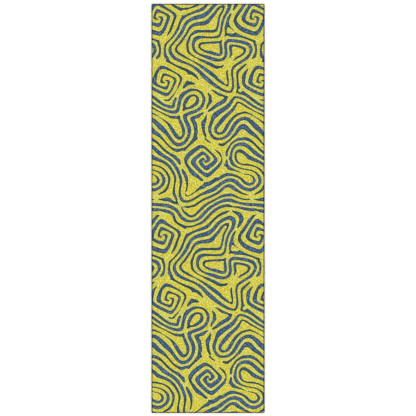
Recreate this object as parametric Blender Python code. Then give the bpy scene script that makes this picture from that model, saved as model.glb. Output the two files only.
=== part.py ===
"""A low-pile runner rug, taken apart into the layers and edge runs that it is made of.

From the floor up it has a grip backing, a latex bond coat, a woven primary backing and the tufted pile.
Yarn is wrapped round the edge of all four layers in four serged runs. The rug's corners are rounded,
and two runs meet halfway round each.

The rug lies flat. The origin is the centre of its underside, +Z points up out of the pile, +Y runs
along the rug's length and +X across its width. Units are metres.
"""

from math import cos, pi, radians, sin

import bmesh
import bpy

MM = 0.001
INCH = 25.4 * MM

# Driving dimensions
RUG_WIDTH = 26 * INCH
RUG_LENGTH = 94 * INCH
GRIP_THICKNESS = 2.0 * MM
GRIP_LIP_THICKNESS = 0.7 * MM
BOND_THICKNESS = 0.5 * MM
SCRIM_THICKNESS = 0.5 * MM
PILE_HEIGHT = 3.6 * MM
TRAPPED_PILE_HEIGHT = 1.1 * MM
SERGING_WIDTH = 6.0 * MM
YARN_THICKNESS = 1.0 * MM
CORNER_RADIUS = 8.0 * MM
GAP = 0.3 * MM

# Rounded edges
SERGING_ROUNDING = 2.0 * MM
SERGING_SEGMENTS = 5
PILE_SHOULDER = 1.2 * MM
SHOULDER_SEGMENTS = 4
HALF_CORNER_SEGMENTS = 3

# Heights of the stacked layers above the floor
BOND_BOTTOM = GRIP_THICKNESS + GAP
SCRIM_BOTTOM = BOND_BOTTOM + BOND_THICKNESS + GAP
PILE_BOTTOM = SCRIM_BOTTOM + SCRIM_THICKNESS + GAP
TRAPPED_PILE_TOP = PILE_BOTTOM + TRAPPED_PILE_HEIGHT
SERGING_TOP = TRAPPED_PILE_TOP + GAP + YARN_THICKNESS

# Distances in from the rug's outer edge: of the layers' trapped edges, and of the field inside the serging
LAYER_INSET = YARN_THICKNESS + GAP
FIELD_INSET = SERGING_WIDTH + GAP
LIP_WIDTH = FIELD_INSET - LAYER_INSET

# Base colours, as linear RGB
PILE_YELLOW = (0.68, 0.58, 0.065)
SCRIM_WHITE = (0.72, 0.70, 0.64)
LATEX_CREAM = (0.62, 0.57, 0.45)
GRIP_GREY = (0.42, 0.42, 0.41)
YARN_OLIVE = (0.30, 0.28, 0.08)


def clear_scene():
    for obj in list(bpy.data.objects):
        bpy.data.objects.remove(obj)


def make_material(name, colour, roughness):
    material = bpy.data.materials.new(name)
    material.use_nodes = True
    shader = material.node_tree.nodes["Principled BSDF"]
    shader.inputs["Base Color"].default_value = (*colour, 1.0)
    shader.inputs["Roughness"].default_value = roughness
    shader.inputs["Metallic"].default_value = 0.0
    return material


def place_part(name, mesh, material, rug):
    """Makes the named object from the finished mesh and hangs it on the rug's empty."""
    bmesh.ops.recalc_face_normals(mesh, faces=mesh.faces)
    data = bpy.data.meshes.new(name)
    mesh.to_mesh(data)
    mesh.free()
    data.materials.append(material)
    part = bpy.data.objects.new(name, data)
    part.parent = rug
    bpy.context.scene.collection.objects.link(part)
    return part


def layer_slab(bottom, thickness):
    """A flat layer of the rug that reaches out to the inside of the serging yarn."""
    mesh = bmesh.new()
    bmesh.ops.create_cube(mesh, size=1.0)
    uprights = [edge for edge in mesh.edges if edge.verts[0].co.xy == edge.verts[1].co.xy]
    size = (RUG_WIDTH - 2 * LAYER_INSET, RUG_LENGTH - 2 * LAYER_INSET, thickness)
    bmesh.ops.scale(mesh, vec=size, verts=mesh.verts)
    bmesh.ops.translate(mesh, vec=(0, 0, bottom + thickness / 2), verts=mesh.verts)
    bmesh.ops.bevel(
        mesh,
        geom=uprights,
        offset=CORNER_RADIUS - LAYER_INSET,
        segments=2 * HALF_CORNER_SEGMENTS,
        profile=0.5,
        affect="EDGES",
    )
    return mesh


def raise_field(mesh, facing, height):
    """Thickens a layer inside the serging, leaving its rim as a thin lip.

    The field grows from the layer's top when facing is 1, or from its underside when facing is -1.
    Returns the edges round the new outer face.
    """
    mesh.normal_update()
    field = max(mesh.faces, key=lambda face: facing * face.normal.z)
    bmesh.ops.inset_region(mesh, faces=[field], thickness=LIP_WIDTH, use_even_offset=True)
    extruded = bmesh.ops.extrude_face_region(mesh, geom=[field])["geom"]
    raised = [item for item in extruded if isinstance(item, bmesh.types.BMVert)]
    bmesh.ops.translate(mesh, vec=(0, 0, facing * height), verts=raised)
    bmesh.ops.delete(mesh, geom=[field], context="FACES_ONLY")
    mesh.normal_update()
    outer_face = max(mesh.faces, key=lambda face: facing * face.calc_center_median().z)
    return outer_face.edges[:]


def build_grip_backing(rug):
    """The non-slip sheet: full thickness in the field, with a thin lip that the yarn wraps under."""
    foot_height = GRIP_THICKNESS - GRIP_LIP_THICKNESS
    mesh = layer_slab(foot_height, GRIP_LIP_THICKNESS)
    raise_field(mesh, -1, foot_height)
    place_part("grip_backing", mesh, make_material("grip_backing", GRIP_GREY, 0.7), rug)


def build_bond_coat(rug):
    """The latex that locks the tufts and glues the two backings together."""
    mesh = layer_slab(BOND_BOTTOM, BOND_THICKNESS)
    place_part("latex_bond_coat", mesh, make_material("latex_bond_coat", LATEX_CREAM, 0.6), rug)


def build_primary_backing(rug):
    """The woven scrim that the pile is tufted through."""
    mesh = layer_slab(SCRIM_BOTTOM, SCRIM_THICKNESS)
    place_part("primary_backing", mesh, make_material("primary_backing", SCRIM_WHITE, 0.8), rug)


def build_printed_pile(rug):
    """The pile: it stands at full height in the field and is pressed flat where the yarn wraps over it."""
    mesh = layer_slab(PILE_BOTTOM, TRAPPED_PILE_HEIGHT)
    rim = raise_field(mesh, 1, PILE_HEIGHT - TRAPPED_PILE_HEIGHT)
    bmesh.ops.bevel(
        mesh,
        geom=rim,
        offset=PILE_SHOULDER,
        segments=SHOULDER_SEGMENTS,
        profile=0.5,
        affect="EDGES",
    )
    place_part("printed_pile", mesh, make_material("printed_pile", PILE_YELLOW, 0.95), rug)


def serging_section():
    """The wrapped yarn's C-shaped section, as (distance in from the rug's edge, height) points."""
    quarter_turn = [pi / 2 * step / SERGING_SEGMENTS for step in range(SERGING_SEGMENTS + 1)]
    lower_round = [(1 - sin(angle), 1 - cos(angle)) for angle in quarter_turn]
    upper_round = [(1 - cos(angle), sin(angle) - 1) for angle in quarter_turn]
    outside = [(inset * SERGING_ROUNDING, height * SERGING_ROUNDING) for inset, height in lower_round]
    outside += [
        (inset * SERGING_ROUNDING, SERGING_TOP + height * SERGING_ROUNDING) for inset, height in upper_round
    ]
    inside_top = SERGING_TOP - YARN_THICKNESS
    inside = [
        (SERGING_WIDTH, inside_top),
        (YARN_THICKNESS, inside_top),
        (YARN_THICKNESS, YARN_THICKNESS),
        (SERGING_WIDTH, YARN_THICKNESS),
    ]
    return [(SERGING_WIDTH, 0.0), *outside, (SERGING_WIDTH, SERGING_TOP), *inside]


def serging_mesh(run_length, edge_distance):
    """One serged run along Y, its outer edge at edge_distance in +X. It goes halfway round two corners."""
    mesh = bmesh.new()
    centre_x = edge_distance - CORNER_RADIUS
    centre_y = run_length / 2 - CORNER_RADIUS
    turns = [pi / 4 * step / HALF_CORNER_SEGMENTS for step in range(HALF_CORNER_SEGMENTS + 1)]
    stations = [(-1, turn) for turn in reversed(turns)] + [(1, turn) for turn in turns]
    rings = []
    for end, turn in stations:
        setback = GAP / 2 if turn == turns[-1] else 0
        ring = []
        for inset, height in serging_section():
            radius = CORNER_RADIUS - inset
            x = centre_x + radius * cos(turn) + setback * sin(turn)
            y = centre_y + radius * sin(turn) - setback * cos(turn)
            ring.append(mesh.verts.new((x, end * y, height)))
        rings.append(ring)
    mesh.faces.new(rings[0])
    mesh.faces.new(rings[-1])
    for near, far in zip(rings, rings[1:]):
        for corner in range(len(near)):
            before = corner - 1
            mesh.faces.new((near[before], near[corner], far[corner], far[before]))
    return mesh


def build_serging(rug):
    """The four runs of edge yarn, each built on the +X side and turned about Z to its own side."""
    yarn = make_material("serging_yarn", YARN_OLIVE, 0.85)
    runs = (
        ("serging_right", RUG_LENGTH, RUG_WIDTH / 2, 0),
        ("serging_head", RUG_WIDTH, RUG_LENGTH / 2, 90),
        ("serging_left", RUG_LENGTH, RUG_WIDTH / 2, 180),
        ("serging_foot", RUG_WIDTH, RUG_LENGTH / 2, -90),
    )
    for name, run_length, edge_distance, turn in runs:
        run = place_part(name, serging_mesh(run_length, edge_distance), yarn, rug)
        run.rotation_euler.z = radians(turn)
        run.data.shade_smooth()
        run.data.set_sharp_from_angle(angle=radians(30))


def build_rug():
    clear_scene()
    rug = bpy.data.objects.new("runner_rug", None)
    bpy.context.scene.collection.objects.link(rug)
    build_grip_backing(rug)
    build_bond_coat(rug)
    build_primary_backing(rug)
    build_printed_pile(rug)
    build_serging(rug)


build_rug()
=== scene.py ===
"""Looks of the runner rug: a printed cut pile, serged yarn edges and a gripping underside.

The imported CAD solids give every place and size. Each is replaced by a finer mesh in the same space.
The print is a generic labyrinth: random folds, lines that run along them, and a few spirals.
All random numbers are seeded, so the rug is the same on every run.
Units are metres. +Z points up out of the pile, +Y runs along the rug and +X across it.
"""

from itertools import product
from math import cos, pi, radians, sin, sqrt

import bpy
import numpy as np
from mathutils.kdtree import KDTree
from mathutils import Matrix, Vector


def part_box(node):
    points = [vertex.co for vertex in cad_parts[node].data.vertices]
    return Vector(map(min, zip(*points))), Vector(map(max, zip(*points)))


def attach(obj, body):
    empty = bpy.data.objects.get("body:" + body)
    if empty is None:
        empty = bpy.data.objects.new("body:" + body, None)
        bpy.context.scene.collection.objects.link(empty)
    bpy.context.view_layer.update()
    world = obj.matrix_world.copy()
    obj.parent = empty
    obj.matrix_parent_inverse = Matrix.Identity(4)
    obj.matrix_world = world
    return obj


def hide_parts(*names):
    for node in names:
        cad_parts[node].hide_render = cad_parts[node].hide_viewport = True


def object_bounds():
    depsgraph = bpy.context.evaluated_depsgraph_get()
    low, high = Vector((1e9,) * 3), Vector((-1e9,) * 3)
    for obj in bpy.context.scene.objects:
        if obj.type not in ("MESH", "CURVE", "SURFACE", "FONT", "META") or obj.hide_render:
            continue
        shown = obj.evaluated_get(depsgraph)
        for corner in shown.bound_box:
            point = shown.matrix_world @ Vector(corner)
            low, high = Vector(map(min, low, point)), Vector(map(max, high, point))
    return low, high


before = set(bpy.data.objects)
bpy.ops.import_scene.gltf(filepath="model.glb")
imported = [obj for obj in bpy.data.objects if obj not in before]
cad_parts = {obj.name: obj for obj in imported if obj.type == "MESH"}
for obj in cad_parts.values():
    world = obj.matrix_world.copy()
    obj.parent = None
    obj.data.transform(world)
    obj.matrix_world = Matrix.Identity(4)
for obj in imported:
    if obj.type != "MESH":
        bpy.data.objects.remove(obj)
cad_low, cad_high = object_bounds()

MM = 0.001

# The rug's outer size and the places of its layers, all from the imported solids
HALF_WIDTH = cad_high.x
HALF_LENGTH = cad_high.y
PILE_LOW, PILE_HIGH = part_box("printed_pile")
SCRIM_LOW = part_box("primary_backing")[0]
BOND_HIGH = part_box("latex_bond_coat")[1]
GRIP_LOW, GRIP_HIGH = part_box("grip_backing")
YARN_LOW, YARN_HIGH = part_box("serging_right")
GAP = SCRIM_LOW.z - BOND_HIGH.z
YARN_THICKNESS = HALF_WIDTH - PILE_HIGH.x - GAP
SERGING_WIDTH = YARN_HIGH.x - YARN_LOW.x
SERGING_TOP = YARN_HIGH.z
FIELD_INSET = SERGING_WIDTH + GAP
FIELD_HALF_WIDTH = HALF_WIDTH - FIELD_INSET
FIELD_HALF_LENGTH = HALF_LENGTH - FIELD_INSET
TRAPPED_PILE_TOP = SERGING_TOP - YARN_THICKNESS - GAP

# The rug's corners are round. The side runs end halfway round them, half a gap short of 45 degrees
HALFWAY = cos(radians(45))
CORNER_RADIUS = (HALF_LENGTH - YARN_HIGH.y - GAP / 2 * HALFWAY) / (1 - HALFWAY)

# The print: a tile that repeats across and, with a small sideways step, along the rug
PRINT_SEED = 33
REPEAT_ACROSS = (0.560, 0.0)
REPEAT_ALONG = (-0.025, 1.270)
TILE_CELLS = (160, 360)
TILES_ROUND_FIRST = range(-3, 4)
LINE_PITCH = 34 * MM

# Settling: stripes of one spacing grow over some steps, and a stronger drive grows them faster
SETTLE_STEP = 0.5
LINE_STEPS = 5
LINE_DRIVE = 0.7

# Folds: wide stripes whose borders the lines run along. They favour one bearing
FOLD_SPACING = 6 * LINE_PITCH
FOLD_STEPS = 20
FOLD_DRIVE = 0.6
FOLD_SLANT = 0.05
FOLD_BEARING = radians(128)
FOLD_START_BLUR = FOLD_SPACING / 6
FOLD_START_STRENGTH = 0.5
FOLD_RING = 0.55 * FOLD_SPACING
FOLD_RING_END = 0.75 * FOLD_SPACING

# Spirals: each eye's place and hand. A spiral is held firmly in its core and let go further out
SPIRAL_EYES = ((-0.29, 1.11, 1), (-0.25, 0.74, 1), (-0.02, 0.28, -1))
SPIRAL_SQUARENESS = 5
SPIRAL_TURN = radians(-35)
SPIRAL_RADIUS = 3.4 * LINE_PITCH
SPIRAL_CORE = 1.4 * LINE_PITCH
SPIRAL_CORE_END = 2.2 * LINE_PITCH
SPIRAL_HOLD = 0.9
SPIRAL_STRENGTH = 1.1
SPIRAL_BLUE = 0.30

# Small changes that keep the lines from looking ruled. They don't wander in the middle of a spiral
WANDER = 10 * MM
WANDER_SPACING = 50 * MM
WANDER_START = LINE_PITCH
WANDER_FULL = 3 * LINE_PITCH
YELLOW_SHARE = -0.18
YELLOW_SHARE_CHANGE = 0.28
YELLOW_SHARE_LIMITS = (-0.35, 0.5)
YELLOW_SHARE_SPACING = 30 * MM

# Mends: faint lines made stronger, yellow where runs of lines meet, wide blue trimmed, small spots covered
CONTRAST_REACH = 0.4 * LINE_PITCH
LEAST_CONTRAST = 0.15
MEETING_YELLOW = 1.1
MEETING_FILL = 0.35
MEETING_REACH = 0.35 * LINE_PITCH
WIDE_BLUE_TRIM = 3
WIDE_BLUE_REACH = 0.5 * LINE_PITCH
SPOT_CELLS = 90
SPOT_FILL = 0.8
SPOT_MARGIN = 0.1 * LINE_PITCH
SPOT_COVER = 3

# Pile. The grid lines of its rounded shoulder stand at shares of the shoulder's width
PILE_SEED = 7
PILE_CELL = 4.3 * MM
PILE_SHOULDER = 1.6 * MM
SHOULDER_LINES = (0, 0.02, 0.1, 0.3, 0.6)
TUFT_RELIEF = 0.5 * MM
TUFT_PITCH = 3.2 * MM
TUFT_DISORDER = 0.7
TUFT_ROUNDNESS = 0.9
SMOOTH_LUMPS = 0.3
SMOOTH_LUMP_CELLS = 1.2
ROUGH_LUMPS = 0.2
DYE_RAGGEDNESS = 0.5

# Serging yarn. The wraps lean along a run, and within the corner's reach they turn to its mitre
YARN_SEED = 500
WRAP_PITCH = 2.6 * MM
STEPS_PER_WRAP = 5
WRAP_RELIEF = 0.42 * MM
WRAP_UNEVENNESS = 0.25
WRAP_SLANT = 2.0 * MM
CORNER_REACH = 14 * MM
MITRE_SETBACK = GAP / sqrt(2)
SERGING_ROUNDING = 2.0 * MM
PLY_LENGTH = 1.3 * MM
PLIES_PER_WRAP = 2.0
FIBRE_SHARE = 0.6

# Inner layers
LAYER_SEED = 11
SCRIM_CELL = 12 * MM
SCRIM_RELIEF = 0.10 * MM
SCRIM_TAPE = 2.2 * MM
SCRIM_CROSSING_SHARE = 0.3
LATEX_CELL = 15 * MM
LATEX_RELIEF = 0.15 * MM

# Grip backing
GRIP_PITCH = 17 * MM
GRIP_FOOT_RADIUS = 3.6 * MM
GRIP_TIP_RADIUS = 2.9 * MM
GRIP_SHEET_THICKNESS = 1.0 * MM
GRIP_SIDES = 8

# Shading
SHARP_ANGLE = radians(50)
SHEEN_ROUGHNESS = 0.6

# Colours, as linear RGB
YELLOW = (0.69, 0.59, 0.026)
YELLOW_WARM = (0.72, 0.53, 0.020)
YELLOW_OLIVE = (0.47, 0.46, 0.075)
YELLOW_PALE = (0.82, 0.75, 0.16)
YELLOW_FADED = (0.61, 0.66, 0.19)
BLUE = (0.032, 0.082, 0.190)
BLUE_PALE = (0.145, 0.230, 0.370)
BLUE_EDGE = (0.022, 0.053, 0.040)
# Painted shade multiplied over the dyes: none for the pile, and for the yarn a painted shade of its rolled
# edge, darker and more olive
PILE_TINT = (1.0, 1.0, 1.0)
YARN_PAINTED_SHADE = (0.27, 0.27, 0.10)
SCRIM_WHITE = (0.72, 0.70, 0.64)
SCRIM_DULL = (0.60, 0.57, 0.50)
SCRIM_CROSSING = (0.50, 0.48, 0.42)
LATEX_CREAM = (0.62, 0.57, 0.45)
LATEX_BROWN = (0.50, 0.44, 0.32)
GRIP_GREY = (0.42, 0.42, 0.41)
GRIP_DULL = (0.34, 0.34, 0.33)
GRIP_SPECK = (0.22, 0.22, 0.22)
FLOOR_WHITE = (0.93, 0.93, 0.93)
FLOOR_DULL = tuple(0.985 * level for level in FLOOR_WHITE)

# Studio. The square picture takes in the view's width at the height of the rug's top, and its middle
# lies a little towards the rug's head
VIEW_WIDTH = 2.4257
VIEW_RISE = 2.2 * MM
LENS = 85.0
SENSOR_WIDTH = 36.0
SKY_STRENGTH = 0.90
LAMP_STRENGTH = 0.8
LAMP_SPREAD = radians(25)
LAMP_TURN = (radians(-28), radians(-22), 0)
FLOOR_REACH = 30.0


# ---------------------------------------------------------------- the print


def fade(distance, full, none):
    """1 nearer than full, 0 further than none, and a straight slope between them."""
    return np.clip((none - distance) / (none - full), 0, 1)


class Labyrinth:
    """Values of the print over the rug: above 0 is yellow, below 0 is blue."""

    def __init__(self):
        columns, rows = TILE_CELLS
        self.repeat = np.array([REPEAT_ACROSS, REPEAT_ALONG])
        across, along = np.meshgrid(
            (np.arange(columns) + 0.5) / columns, (np.arange(rows) + 0.5) / rows, indexing="ij"
        )
        self.to_tile = np.linalg.inv(self.repeat)
        self.x, self.y = np.tensordot(self.repeat.T, np.array([across, along]), 1)
        waves = np.meshgrid(
            np.fft.fftfreq(columns, 1 / columns), np.fft.fftfreq(rows, 1 / rows), indexing="ij"
        )
        self.wave_x, self.wave_y = 2 * pi * np.tensordot(self.to_tile, np.array(waves), 1)

        random = np.random.default_rng(PRINT_SEED)
        reach, bearing, hand = self.spirals()
        lines = self.grow(random, reach, bearing, hand)
        wander = WANDER * (1 - fade(reach, WANDER_START, WANDER_FULL))
        moved_x = self.x + wander * self.smooth_noise(random, WANDER_SPACING)
        moved_y = self.y + wander * self.smooth_noise(random, WANDER_SPACING)
        share = YELLOW_SHARE + YELLOW_SHARE_CHANGE * self.smooth_noise(random, YELLOW_SHARE_SPACING)
        share -= SPIRAL_BLUE * fade(reach, 0, SPIRAL_CORE_END)
        values = self.read(lines, moved_x, moved_y) + np.clip(share, *YELLOW_SHARE_LIMITS)
        self.values = self.without_spots(values)

    def at(self, x, y):
        """The print's values at places on the rug."""
        return self.read(self.values, x, y)

    def read(self, sheet, x, y):
        """A tile's values at places on the rug, blended in straight lines between its cells."""
        columns, rows = TILE_CELLS
        across = (x * self.to_tile[0, 0] + y * self.to_tile[1, 0]) % 1 * columns - 0.5
        along = (x * self.to_tile[0, 1] + y * self.to_tile[1, 1]) % 1 * rows - 0.5
        i = np.floor(across).astype(int)
        j = np.floor(along).astype(int)
        right = across - i
        up = along - j
        near = sheet[i % columns, j % rows] * (1 - right) + sheet[(i + 1) % columns, j % rows] * right
        far = sheet[i % columns, (j + 1) % rows] * (1 - right)
        far += sheet[(i + 1) % columns, (j + 1) % rows] * right
        return near * (1 - up) + far * up

    def blurred(self, values, sigma):
        """The values smoothed over this distance, across the tile's edges too."""
        keep = np.exp(-(self.wave_x**2 + self.wave_y**2) * sigma**2 / 2)
        return np.real(np.fft.ifft2(np.fft.fft2(values) * keep))

    def smooth_noise(self, random, sigma):
        """Random lumps of about this size, spread about 0 with a deviation of 1."""
        noise = self.blurred(random.standard_normal(self.x.shape), sigma)
        return noise / noise.std()

    def spirals(self):
        """Each cell's squarish distance to the nearest spiral's eye, its bearing from it and its hand."""
        reach = np.full(self.x.shape, np.inf)
        bearing = np.zeros(self.x.shape)
        hand = np.zeros(self.x.shape)
        for across, along in product(TILES_ROUND_FIRST, repeat=2):
            for eye_x, eye_y, eye_hand in SPIRAL_EYES:
                dx = self.x - eye_x - across * REPEAT_ACROSS[0] - along * REPEAT_ALONG[0]
                dy = self.y - eye_y - across * REPEAT_ACROSS[1] - along * REPEAT_ALONG[1]
                u = abs(dx * cos(SPIRAL_TURN) + dy * sin(SPIRAL_TURN))
                v = abs(dy * cos(SPIRAL_TURN) - dx * sin(SPIRAL_TURN))
                distance = (u**SPIRAL_SQUARENESS + v**SPIRAL_SQUARENESS) ** (1 / SPIRAL_SQUARENESS)
                nearer = distance < reach
                reach[nearer] = distance[nearer]
                bearing[nearer] = np.arctan2(dy, dx)[nearer]
                hand[nearer] = eye_hand
        return reach, bearing, hand

    def settle(self, values, spacing, steps, drive, pinned, slant=0.0):
        """Grows stripes of one spacing out of the values, as a Swift-Hohenberg pattern does.

        Pinned holds a weight and a target, which the values are drawn to before each step. Slant
        holds back stripes the more they turn away from the folds' bearing.
        """
        scaled = (self.wave_x**2 + self.wave_y**2) * (spacing / (2 * pi)) ** 2
        growth = drive - (1 - scaled) ** 2
        growth -= slant * np.sin(np.arctan2(self.wave_y, self.wave_x) - FOLD_BEARING) ** 2 * scaled
        weight, target = pinned
        for _ in range(steps):
            values = values * (1 - weight) + weight * target
            values = np.fft.fft2(values - SETTLE_STEP * values**3) / (1 - SETTLE_STEP * growth)
            values = np.real(np.fft.ifft2(values))
        return values

    def distance_to_folds(self, folds):
        """Each cell's distance to the nearest place where the folds change sign."""
        places = []
        for axis, step in enumerate(np.eye(2)):
            ahead = np.roll(folds, -1, axis)
            cells = np.argwhere(folds * ahead < 0)
            part = (folds / (folds - ahead))[tuple(cells.T)]
            places.append((cells + 0.5 + part[:, None] * step) / TILE_CELLS)
        places = np.concatenate(places)
        tiles = list(product((-1, 0, 1), repeat=2))
        tree = KDTree(len(tiles) * len(places))
        for tile in tiles:
            for x, y in (places + tile) @ self.repeat:
                tree.insert((x, y, 0), 0)
        tree.balance()
        distances = [tree.find((x, y, 0))[2] for x, y in zip(self.x.ravel(), self.y.ravel())]
        return np.reshape(distances, self.x.shape)

    def meetings(self, distance, folds):
        """Near 1 where lines from two borders meet and the distance to them peaks, and near 0 elsewhere."""
        signed = self.blurred(distance * np.sign(folds), MEETING_REACH)
        spectrum = np.fft.fft2(signed)
        slopes = [np.real(np.fft.ifft2(1j * waves * spectrum)) for waves in (self.wave_x, self.wave_y)]
        return np.clip(1 - np.hypot(*slopes), 0, 1)

    def grow(self, random, reach, bearing, hand):
        """Folds first, then evenly spaced lines along both sides of their borders, and the spirals."""
        start = FOLD_START_STRENGTH * self.smooth_noise(random, FOLD_START_BLUR)
        ring = np.cos(2 * pi * reach / FOLD_SPACING)
        near_eye = fade(reach, FOLD_RING, FOLD_RING_END)
        start = start * (1 - near_eye) + ring * near_eye
        folds = self.settle(start, FOLD_SPACING, FOLD_STEPS, FOLD_DRIVE, (near_eye, ring), FOLD_SLANT)
        distance = self.distance_to_folds(folds)
        along_folds = -np.cos(2 * pi * distance / LINE_PITCH)
        spiral = np.cos(2 * pi * reach / LINE_PITCH + 2 * hand * bearing)
        lines = np.where(reach < SPIRAL_RADIUS, spiral, along_folds)
        core = SPIRAL_HOLD * fade(reach, SPIRAL_CORE, SPIRAL_CORE_END)
        lines = self.settle(lines, LINE_PITCH, LINE_STEPS, LINE_DRIVE, (core, SPIRAL_STRENGTH * spiral))
        lines = self.mended(lines, self.meetings(distance, folds))
        return lines * (1 - core) + core * spiral

    def mended(self, lines, meetings):
        """The lines with faint ones made stronger, yellow at the meetings and wide blue patches trimmed."""
        lines = lines / np.sqrt(2 * np.mean(lines**2))
        lines = lines + MEETING_YELLOW * meetings
        contrast = np.sqrt(2 * self.blurred(lines**2, CONTRAST_REACH))
        lines = lines / np.maximum(contrast, LEAST_CONTRAST)
        lines = lines - WIDE_BLUE_TRIM * np.minimum(self.blurred(lines, WIDE_BLUE_REACH), 0)
        return lines + MEETING_FILL * meetings

    def without_spots(self, values):
        """Paints over islands of either colour that are too small to be a line."""
        for side in (1, -1):
            spots = self.islands(side * values > 0).astype(float)
            cover = np.clip(SPOT_COVER * self.blurred(spots, SPOT_MARGIN), 0, 1)
            values = values * (1 - cover) - side * SPOT_FILL * cover
        return values

    def islands(self, inside):
        """Marks the patches of neighbouring inside cells that are no larger than a spot."""
        columns, rows = TILE_CELLS
        seen = ~inside
        marked = np.zeros(inside.shape, bool)
        for start in map(tuple, np.argwhere(inside)):
            if seen[start]:
                continue
            seen[start] = True
            patch = [start]
            for i, j in patch:
                neighbours = (
                    ((i + 1) % columns, j),
                    ((i - 1) % columns, j),
                    (i, (j + 1) % rows),
                    (i, (j - 1) % rows),
                )
                for cell in neighbours:
                    if not seen[cell]:
                        seen[cell] = True
                        patch.append(cell)
            if len(patch) <= SPOT_CELLS:
                marked[tuple(np.transpose(patch))] = True
        return marked


# ---------------------------------------------------------------- meshes


def with_round_corners(points):
    """The points with the rug's four square corners drawn in to arcs, and every inner outline with them."""
    centre = np.array([HALF_WIDTH, HALF_LENGTH]) - CORNER_RADIUS
    beyond = np.abs(points[:, :2]) - centre
    straight = beyond.max(axis=1)
    corner = (beyond.min(axis=1) > 0)[:, None]
    shrink = straight / np.hypot(*beyond.T)
    drawn_in = np.sign(points[:, :2]) * (centre + beyond * shrink[:, None])
    return np.column_stack([np.where(corner, drawn_in, points[:, :2]), points[:, 2]])


def place_mesh(name, points, faces, material, stands_for):
    """Makes a piece from points and faces with the given material. It stands for one CAD node, which is
    hidden.
    """
    corners = np.concatenate([np.ravel(face) for face in faces])
    sides = np.concatenate([np.full(len(face), face.shape[-1]) for face in faces])
    starts = np.cumsum(sides) - sides
    data = bpy.data.meshes.new(name)
    data.vertices.add(len(points))
    data.vertices.foreach_set("co", np.asarray(points, np.float32).ravel())
    data.loops.add(len(corners))
    data.loops.foreach_set("vertex_index", corners.astype(np.int32))
    data.polygons.add(len(sides))
    data.polygons.foreach_set("loop_start", starts.astype(np.int32))
    data.update(calc_edges=True)
    data.shade_smooth()
    data.set_sharp_from_angle(angle=SHARP_ANGLE)
    data.materials.append(material)
    piece = bpy.data.objects.new(name, data)
    bpy.context.scene.collection.objects.link(piece)
    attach(piece, "root")
    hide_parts(stands_for)
    return piece


def store(piece, name, values):
    """Keeps one number for each point of the piece, for its material to read."""
    layer = piece.data.attributes.new(name, "FLOAT", "POINT")
    layer.data.foreach_set("value", np.asarray(values, np.float32).ravel())


def quads_between(first, second):
    """Quads that join two rows of point numbers of the same length."""
    return np.stack([first[:-1], first[1:], second[1:], second[:-1]], axis=-1)


def grid_quads(numbers):
    """Quads over a table of point numbers, facing up where columns run along +X and rows along +Y."""
    return np.concatenate([quads_between(low, high) for low, high in zip(numbers[:-1], numbers[1:])])


def rim_of(numbers):
    """The point numbers round a table's border, anticlockwise from above, closed by its first one."""
    front, right, back, left = numbers[0, :-1], numbers[:-1, -1], numbers[-1, :0:-1], numbers[:0:-1, 0]
    return np.concatenate([front, right, back, left, front[:1]])


def soft_noise(random, shape, cells):
    """Smooth noise over a table, about -1 to 1, whose lumps are a few cells wide."""
    waves = np.fft.fftfreq(shape[0])[:, None] ** 2 + np.fft.fftfreq(shape[1])[None, :] ** 2
    keep = np.exp(-waves * (2 * pi * cells) ** 2 / 2)
    noise = np.real(np.fft.ifft2(np.fft.fft2(random.standard_normal(shape)) * keep))
    return np.clip(noise / noise.std() / 2, -1, 1)


def even_lines(reach, cell):
    """Grid lines from -reach to reach, evenly spaced at about one cell."""
    return np.linspace(-reach, reach, round(2 * reach / cell) + 1)


def pile_lines(half_size):
    """Grid lines across the pile: its flattened rim, its rounded shoulder and even cells between."""
    edge = half_size - FIELD_INSET
    rim = half_size - YARN_THICKNESS - GAP
    shoulder = [edge - PILE_SHOULDER * share for share in SHOULDER_LINES]
    side = np.array([rim, *shoulder])
    return np.concatenate([-side, even_lines(edge - PILE_SHOULDER, PILE_CELL), side[::-1]])


def build_pile(labyrinth, material):
    """The standing tufts: lumpy on top, rounded down at the field's edge, pressed flat under the yarn."""
    random = np.random.default_rng(PILE_SEED)
    x, y = np.meshgrid(pile_lines(HALF_WIDTH), pile_lines(HALF_LENGTH))
    inside = np.minimum(FIELD_HALF_WIDTH - abs(x), FIELD_HALF_LENGTH - abs(y))
    rise = np.sqrt(1 - (1 - np.clip(inside / PILE_SHOULDER, 0, 1)) ** 2)
    lumps = 0.5 + SMOOTH_LUMPS * soft_noise(random, x.shape, SMOOTH_LUMP_CELLS)
    lumps += ROUGH_LUMPS * random.uniform(-1, 1, x.shape)
    z = TRAPPED_PILE_TOP + (PILE_HIGH.z - TRAPPED_PILE_TOP) * rise - TUFT_RELIEF * lumps * rise
    numbers = np.arange(x.size).reshape(x.shape)
    rim = rim_of(numbers)
    under = np.arange(len(rim) - 1) + x.size
    under = np.append(under, under[0])
    top = np.stack([x, y, z], axis=-1).reshape(-1, 3)
    bottom = top[rim[:-1]] * (1, 1, 0) + (0, 0, PILE_LOW.z)
    faces = [grid_quads(numbers), quads_between(under, rim), under[None, :0:-1]]
    points = with_round_corners(np.concatenate([top, bottom]))
    piece = place_mesh("pile_surface", points, faces, material, "printed_pile")
    store(piece, "print", labyrinth.at(points[:, 0], points[:, 1]))
    return piece


def yarn_section():
    """The wrapped yarn's C section: (inset, height) points round its outer side and round its inner one."""
    turns = np.linspace(0, pi / 2, 5)
    flats = np.linspace(SERGING_WIDTH, SERGING_ROUNDING, 4)[:-1]
    outside = [(inset, 0.0) for inset in flats]
    outside += [
        (SERGING_ROUNDING * (1 - sin(turn)), SERGING_ROUNDING * (1 - cos(turn))) for turn in turns
    ]
    outside += [(inset, SERGING_TOP - height) for inset, height in reversed(outside)]
    inside_top = SERGING_TOP - YARN_THICKNESS
    inside = [
        (SERGING_WIDTH, inside_top),
        (YARN_THICKNESS, inside_top),
        (YARN_THICKNESS, YARN_THICKNESS),
        (SERGING_WIDTH, YARN_THICKNESS),
    ]
    return np.array(outside), np.array(inside)


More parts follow.
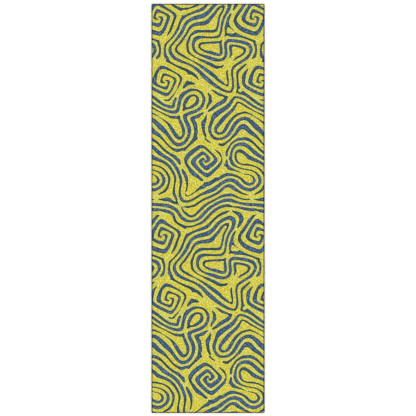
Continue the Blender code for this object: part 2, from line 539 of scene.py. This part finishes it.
def along_section(outside):
    """How far along the section's outer side each of its points lies, and which way is inward there."""
    steps = np.diff(outside, axis=0)
    arc = np.concatenate([[0], np.cumsum(np.hypot(*steps.T))])
    slopes = np.gradient(outside, arc, axis=0)
    return arc, np.stack([slopes[:, 1], -slopes[:, 0]], axis=-1)


def wrap_dips(random, places):
    """How far the yarn lies below its fullest at each place along a run, as some wraps are fuller."""
    crest = np.sqrt(1 - (2 * (places % STEPS_PER_WRAP) / STEPS_PER_WRAP - 1) ** 2)
    wraps = places // STEPS_PER_WRAP
    fullness = 1 - WRAP_UNEVENNESS * random.uniform(0, 1, wraps[-1] + 1)[wraps]
    return WRAP_RELIEF * (1 - crest * fullness)


def build_serging(labyrinth, material, name, run_length, edge_distance, turn):
    """One edge run of wrapped yarn, made along Y at the +X side and turned about Z to its own side."""
    random = np.random.default_rng(YARN_SEED + round(turn))
    outside, inside = yarn_section()
    arc, inward = along_section(outside)
    places = np.arange(round(run_length / WRAP_PITCH) * STEPS_PER_WRAP + 1)
    depth = wrap_dips(random, places)
    run = (places / places[-1] - 0.5) * run_length
    section = outside[None] + depth[:, None, None] * inward[None]
    inner = np.broadcast_to(inside[None], (len(run), *inside.shape))
    points = np.concatenate([section, inner], axis=1)

    # Towards a corner the wraps' slant fades, and each inset line ends on the mitre
    closeness = fade(run_length / 2 - abs(run), 0, CORNER_REACH)
    slant = WRAP_SLANT * (arc / arc[-1] - 0.5)
    shift = slant[None] * (1 - closeness[:, None])
    outer_y = run[:, None] + shift
    inner_y = np.broadcast_to(run[:, None], inner.shape[:2])
    lengthwise = np.concatenate([outer_y, inner_y], axis=1)
    lengthwise = lengthwise - np.sign(run)[:, None] * closeness[:, None] * (points[..., 0] + MITRE_SETBACK)

    placed = np.stack([edge_distance - points[..., 0], lengthwise, points[..., 1]], axis=-1)
    turned = np.array([[cos(turn), -sin(turn), 0], [sin(turn), cos(turn), 0], [0, 0, 1]])
    numbers = np.arange(placed.shape[0] * placed.shape[1]).reshape(placed.shape[:2])
    placed = with_round_corners((placed @ turned.T).reshape(-1, 3))
    around = np.concatenate([numbers, numbers[:, :1]], axis=1)
    faces = [grid_quads(around)[:, ::-1], numbers[:1], numbers[-1:, ::-1]]
    piece = place_mesh(name + "_yarn", placed, faces, material, name)
    store(piece, "print", labyrinth.at(placed[:, 0], placed[:, 1]))
    strand = np.broadcast_to((places / STEPS_PER_WRAP)[:, None], numbers.shape)
    store(piece, "strand", strand)
    reach = np.concatenate([arc, np.zeros(len(inside))])
    store(piece, "yarn_length", np.broadcast_to(reach[None], numbers.shape))


def build_thin_layer(name, node, cell, relief, material):
    """A flat inner layer with slightly uneven faces, closed all round."""
    random = np.random.default_rng(LAYER_SEED)
    low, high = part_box(node)
    x, y = np.meshgrid(even_lines(high.x, cell), even_lines(high.y, cell))
    bumps = relief * (0.5 + 0.5 * soft_noise(random, x.shape, 1.0))
    dips = relief * (0.5 + 0.5 * soft_noise(random, x.shape, 1.0))
    top = np.stack([x, y, high.z - bumps], axis=-1).reshape(-1, 3)
    bottom = np.stack([x, y, low.z + dips], axis=-1).reshape(-1, 3)
    numbers = np.arange(x.size).reshape(x.shape)
    below = numbers + x.size
    faces = [grid_quads(numbers), grid_quads(below)[:, ::-1], quads_between(rim_of(below), rim_of(numbers))]
    points = with_round_corners(np.concatenate([top, bottom]))
    piece = place_mesh(name, points, faces, material, node)
    return piece


def grip_ring(centres, radius, height):
    """A ring of points of this radius and at this height round each centre."""
    angles = (np.arange(GRIP_SIDES) + 0.5) * 2 * pi / GRIP_SIDES
    circle = np.stack([np.cos(angles), np.sin(angles)], axis=-1)
    ring = centres[:, None] + radius * circle[None]
    heights = np.full((*ring.shape[:2], 1), height)
    return np.concatenate([ring, heights], axis=-1).reshape(-1, 3)


def tile_faces(numbers, foot):
    """Triangles and quads that join each tile's four corners to the foot ring of its grip."""
    corners = np.stack([numbers[1:, 1:], numbers[1:, :-1], numbers[:-1, :-1], numbers[:-1, 1:]], axis=-1)
    corners = corners.reshape(-1, 4)
    triangles = []
    quads = []
    # Ring points 0 and 1 stand on either side of the first corner's diagonal, and so on round the tile
    for side in range(4):
        before, after, across = (foot[:, (2 * side + step) % GRIP_SIDES] for step in range(3))
        triangles.append(np.stack([corners[:, side], before, after], axis=-1))
        quads.append(np.stack([corners[:, side], after, across, corners[:, (side + 1) % 4]], axis=-1))
    return np.concatenate(triangles), np.concatenate(quads)


def lip_rings(outline, sheet_bottom):
    """The outlines that step up from the sheet's underside, out under the yarn and up the lip's edge."""
    lip_bottom = sheet_bottom + GAP
    spread = (GRIP_HIGH.x / FIELD_HALF_WIDTH, GRIP_HIGH.y / FIELD_HALF_LENGTH)
    step = outline * (1, 1, 0) + (0, 0, lip_bottom)
    lip = np.concatenate([outline[:, :2] * spread, np.full((len(outline), 1), lip_bottom)], axis=-1)
    edge = lip * (1, 1, 0) + (0, 0, GRIP_HIGH.z)
    return [step, lip, edge]


def build_grip(material):
    """The non-slip sheet: rows of low round grips that reach the floor, and a thin lip under the yarn."""
    lines_x = even_lines(FIELD_HALF_WIDTH, GRIP_PITCH)
    lines_y = even_lines(FIELD_HALF_LENGTH, GRIP_PITCH)
    sheet_bottom = GRIP_HIGH.z - GRIP_SHEET_THICKNESS
    x, y = np.meshgrid(lines_x, lines_y)
    lattice = np.stack([x, y, np.full(x.shape, sheet_bottom)], axis=-1).reshape(-1, 3)
    numbers = np.arange(x.size).reshape(x.shape)
    centre_x, centre_y = np.meshgrid((lines_x[:-1] + lines_x[1:]) / 2, (lines_y[:-1] + lines_y[1:]) / 2)
    centres = np.stack([centre_x.ravel(), centre_y.ravel()], axis=-1)
    feet = grip_ring(centres, GRIP_FOOT_RADIUS, sheet_bottom)
    tips = grip_ring(centres, GRIP_TIP_RADIUS, GRIP_LOW.z)
    foot = np.arange(len(feet)).reshape(-1, GRIP_SIDES) + len(lattice)
    tip = foot + foot.size
    foot_next = np.roll(foot, -1, axis=1)
    tip_next = np.roll(tip, -1, axis=1)
    walls = np.stack([foot, tip, tip_next, foot_next], axis=-1).reshape(-1, 4)
    rim = rim_of(numbers)[:-1]
    outlines = lip_rings(lattice[rim], sheet_bottom)
    first = len(lattice) + 2 * foot.size
    loops = [rim] + [first + len(rim) * index + np.arange(len(rim)) for index in range(len(outlines))]
    closed = [np.append(loop, loop[0]) for loop in loops]
    bands = [quads_between(low, high) for low, high in zip(closed[:-1], closed[1:])]
    points = with_round_corners(np.concatenate([lattice, feet, tips, *outlines]))
    faces = [walls, tip[:, ::-1], *tile_faces(numbers, foot), *bands, loops[-1][None]]
    piece = place_mesh("grip_sheet", points, faces, material, "grip_backing")


# ---------------------------------------------------------------- materials


class Shader:
    """A node material whose texture places are the object's own, in metres."""

    def __init__(self, name, roughness, sheen=0.0, specular=0.3):
        self.material = bpy.data.materials.new(name)
        self.material.use_nodes = True
        self.nodes = self.material.node_tree.nodes
        self.links = self.material.node_tree.links
        self.surface = self.nodes["Principled BSDF"]
        self.surface.inputs["Roughness"].default_value = roughness
        self.surface.inputs["Specular IOR Level"].default_value = specular
        self.surface.inputs["Sheen Weight"].default_value = sheen
        self.surface.inputs["Sheen Roughness"].default_value = SHEEN_ROUGHNESS
        self.place = self.nodes.new("ShaderNodeTexCoord").outputs["Object"]

    def node(self, kind, inputs, **settings):
        """A node with these settings, its inputs linked to sockets or set to plain values."""
        made = self.nodes.new(kind)
        for setting, value in settings.items():
            setattr(made, setting, value)
        for socket, value in inputs.items():
            if isinstance(value, bpy.types.NodeSocket):
                self.links.new(value, made.inputs[socket])
            else:
                made.inputs[socket].default_value = value
        return made

    def math(self, operation, *values):
        """The result of one operation on sockets or numbers."""
        return self.node("ShaderNodeMath", dict(enumerate(values)), operation=operation).outputs[0]

    def noise(self, size, detail=2.0):
        """Noise from 0 to 1 whose lumps are about this size."""
        inputs = {"Vector": self.place, "Scale": 0.5 / size, "Detail": detail}
        return self.node("ShaderNodeTexNoise", inputs).outputs["Fac"]

    def tufts(self):
        """Distance from the nearest tuft's middle, from 0 to about 0.7 of the tufts' spacing."""
        inputs = {"Vector": self.place, "Scale": 1 / TUFT_PITCH, "Randomness": TUFT_DISORDER}
        return self.node("ShaderNodeTexVoronoi", inputs).outputs["Distance"]

    def ramp(self, value, low, high, to_low=0.0, to_high=1.0):
        """The value eased from one range to another, and held at its ends."""
        inputs = {0: value, 1: low, 2: high, 3: to_low, 4: to_high}
        return self.node("ShaderNodeMapRange", inputs, interpolation_type="SMOOTHSTEP").outputs[0]

    def mix(self, factor, first, second, blend="MIX"):
        """Two colours mixed by the factor."""
        inputs = {0: factor}
        for socket, colour in ((6, first), (7, second)):
            inputs[socket] = (*colour, 1.0) if isinstance(colour, tuple) else colour
        return self.node("ShaderNodeMix", inputs, data_type="RGBA", blend_type=blend).outputs[2]

    def stored(self, name):
        """The number that store() kept for each point of the piece."""
        return self.node("ShaderNodeAttribute", {}, attribute_name=name).outputs["Fac"]

    def colour(self, colour):
        """Makes this the surface's colour."""
        self.links.new(colour, self.surface.inputs["Base Color"])

    def bump(self, height, distance, strength=1.0):
        """Fine relief, its height from 0 to 1 scaled to this distance."""
        inputs = {"Height": height, "Distance": distance, "Strength": strength}
        relief = self.node("ShaderNodeBump", inputs)
        self.links.new(relief.outputs["Normal"], self.surface.inputs["Normal"])


def print_with_painted_shade(shader, painted_shade):
    """The two dyes of the print, ragged at their border by the fibres and blotchy inside, under painted
    light and shade of the pile's clumps and tufts and a painted shade multiplied over all.
    """
    raggedness = shader.math("MULTIPLY_ADD", shader.noise(3 * MM), DYE_RAGGEDNESS, -DYE_RAGGEDNESS / 2)
    value = shader.math("ADD", shader.stored("print"), raggedness)
    clump_noise = shader.noise(3.5 * MM, detail=1.0)

    warm = shader.ramp(shader.noise(8 * MM), low=0.50, high=0.75)
    yellow = shader.mix(warm, YELLOW, YELLOW_WARM)
    olive = shader.ramp(shader.noise(5 * MM, detail=1.0), low=0.50, high=0.72)
    yellow = shader.mix(olive, yellow, YELLOW_OLIVE)
    faded = shader.ramp(value, low=0.1, high=0.95, to_low=0.9, to_high=0.0)
    yellow = shader.mix(faded, yellow, YELLOW_FADED)
    # Paler specks where the clump noise is brightest
    pale_specks = shader.ramp(clump_noise, low=0.50, high=0.75, to_high=0.7)
    yellow = shader.mix(pale_specks, yellow, YELLOW_PALE)

    specks = shader.ramp(shader.noise(4.5 * MM, detail=1.0), low=0.49, high=0.67)
    blue = shader.mix(specks, BLUE, BLUE_PALE)
    seam = shader.ramp(value, low=-0.95, high=-0.30)
    blue = shader.mix(seam, blue, BLUE_EDGE)

    printed = shader.mix(shader.ramp(value, low=-0.07, high=0.07), blue, yellow)
    # Painted light and shade of the pile's clumps
    shade = shader.ramp(clump_noise, low=0.25, high=0.75, to_low=0.65, to_high=1.25)
    # Painted shade in the gaps between the tufts and painted light on their middles
    painted_tuft_shading = shader.ramp(shader.tufts(), low=0.15, high=0.65, to_low=1.20, to_high=0.84)
    level = shader.math("MULTIPLY", shade, painted_tuft_shading)
    grey = shader.node("ShaderNodeCombineColor", {0: level, 1: level, 2: level}).outputs[0]
    shaded_print = shader.mix(1.0, printed, grey, "MULTIPLY")
    # Multiplies in the painted shade: none for the pile, the rolled edge's painted shade for the yarn
    return shader.mix(1.0, shaded_print, painted_shade, "MULTIPLY")


def pile_material():
    """Dyed tufts, matt and fibrous, under painted light and shade of their clumps and tufts."""
    shader = Shader("printed_pile", roughness=0.95, sheen=0.15, specular=0.1)
    shader.colour(print_with_painted_shade(shader, PILE_TINT))
    fibres = shader.noise(0.8 * MM, detail=3.0)
    height = shader.math("MULTIPLY_ADD", shader.tufts(), -TUFT_ROUNDNESS, fibres)
    shader.bump(height, distance=0.8 * MM)
    return shader.material


def yarn_material():
    """Twisted yarn that the print has run over, darkened and made more olive by painted shade of its rolled
    edge.
    """
    shader = Shader("serging_yarn", roughness=0.85, sheen=0.1, specular=0.2)
    shader.colour(print_with_painted_shade(shader, YARN_PAINTED_SHADE))
    twist = shader.math("MULTIPLY_ADD", shader.stored("strand"), PLIES_PER_WRAP, 0.0)
    twist = shader.math("MULTIPLY_ADD", shader.stored("yarn_length"), 1 / PLY_LENGTH, twist)
    ply = shader.math("PINGPONG", twist, 0.5)
    height = shader.math("MULTIPLY_ADD", shader.noise(0.5 * MM), FIBRE_SHARE, ply)
    shader.bump(height, distance=0.3 * MM)
    return shader.material


def scrim_material():
    """Flat woven tapes, two ways."""
    shader = Shader("primary_backing", roughness=0.75, specular=0.3)
    checks = shader.node("ShaderNodeTexChecker", {"Vector": shader.place, "Scale": 1 / SCRIM_TAPE})
    weave = checks.outputs["Fac"]
    tone = shader.mix(shader.noise(20 * MM), SCRIM_WHITE, SCRIM_DULL)
    crossing = shader.math("MULTIPLY", weave, SCRIM_CROSSING_SHARE)
    shader.colour(shader.mix(crossing, tone, SCRIM_CROSSING))
    shader.bump(shader.math("ADD", weave, shader.noise(0.6 * MM)), distance=0.15 * MM)
    return shader.material


def latex_material():
    """Dried latex, cream with brown blotches."""
    shader = Shader("latex_bond_coat", roughness=0.55, specular=0.4)
    blotches = shader.ramp(shader.noise(25 * MM, detail=4.0), low=0.35, high=0.70)
    shader.colour(shader.mix(blotches, LATEX_CREAM, LATEX_BROWN))
    shader.bump(shader.noise(3 * MM, detail=4.0), distance=0.3 * MM)
    return shader.material


def grip_material():
    """Grey rubber with dark specks."""
    shader = Shader("grip_backing", roughness=0.7, specular=0.35)
    blotches = shader.ramp(shader.noise(30 * MM, detail=4.0), low=0.30, high=0.70)
    tone = shader.mix(blotches, GRIP_GREY, GRIP_DULL)
    specks = shader.ramp(shader.noise(1.5 * MM, detail=1.0), low=0.62, high=0.75, to_high=0.5)
    shader.colour(shader.mix(specks, tone, GRIP_SPECK))
    shader.bump(shader.noise(1.2 * MM, detail=3.0), distance=0.2 * MM)
    return shader.material


def floor_material():
    """Matt white, very slightly uneven."""
    shader = Shader("floor", roughness=0.9, specular=0.1)
    shader.colour(shader.mix(shader.noise(0.4), FLOOR_WHITE, FLOOR_DULL))
    return shader.material


# ---------------------------------------------------------------- the rug and its studio


def build_rug():
    """The pile, the four edge runs, the inner layers and the grips."""
    labyrinth = Labyrinth()
    pile = build_pile(labyrinth, pile_material())
    yarn = yarn_material()
    runs = (
        ("serging_right", 2 * HALF_LENGTH, HALF_WIDTH, 0),
        ("serging_head", 2 * HALF_WIDTH, HALF_LENGTH, 90),
        ("serging_left", 2 * HALF_LENGTH, HALF_WIDTH, 180),
        ("serging_foot", 2 * HALF_WIDTH, HALF_LENGTH, 270),
    )
    for name, run_length, edge_distance, turn in runs:
        build_serging(labyrinth, yarn, name, run_length, edge_distance, radians(turn))
    scrim = build_thin_layer(
        "woven_scrim", "primary_backing", SCRIM_CELL, SCRIM_RELIEF, scrim_material()
    )
    latex = build_thin_layer(
        "latex_film", "latex_bond_coat", LATEX_CELL, LATEX_RELIEF, latex_material()
    )
    build_grip(grip_material())


def build_floor():
    """A wide white floor under the rug."""
    signs = ((-1, -1), (1, -1), (1, 1), (-1, 1))
    corners = [(x * FLOOR_REACH, y * FLOOR_REACH, 0) for x, y in signs]
    data = bpy.data.meshes.new("floor")
    data.from_pydata(corners, [], [(0, 1, 2, 3)])
    data.materials.append(floor_material())
    floor = bpy.data.objects.new("floor", data)
    bpy.context.scene.collection.objects.link(floor)


def build_light():
    """Even light from a white sky, and a soft lamp from one side."""
    world = bpy.data.worlds.new("studio")
    world.use_nodes = True
    sky = world.node_tree.nodes["Background"]
    sky.inputs["Color"].default_value = (1.0, 1.0, 1.0, 1.0)
    sky.inputs["Strength"].default_value = SKY_STRENGTH
    bpy.context.scene.world = world

    lamp = bpy.data.lights.new("soft_key", "SUN")
    lamp.energy = LAMP_STRENGTH
    lamp.angle = LAMP_SPREAD
    key = bpy.data.objects.new("soft_key", lamp)
    key.rotation_euler = LAMP_TURN
    bpy.context.scene.collection.objects.link(key)


def build_camera():
    """A camera straight above the rug's middle, and colours shown as they are."""
    lens = bpy.data.cameras.new("camera")
    lens.lens = LENS
    lens.sensor_width = SENSOR_WIDTH
    camera = bpy.data.objects.new("camera", lens)
    distance = VIEW_WIDTH * LENS / SENSOR_WIDTH
    camera.location = (0.0, VIEW_RISE, cad_high.z + distance)
    bpy.context.scene.collection.objects.link(camera)
    bpy.context.scene.camera = camera
    bpy.context.scene.view_settings.view_transform = "Standard"


build_rug()
build_floor()
build_light()
build_camera()
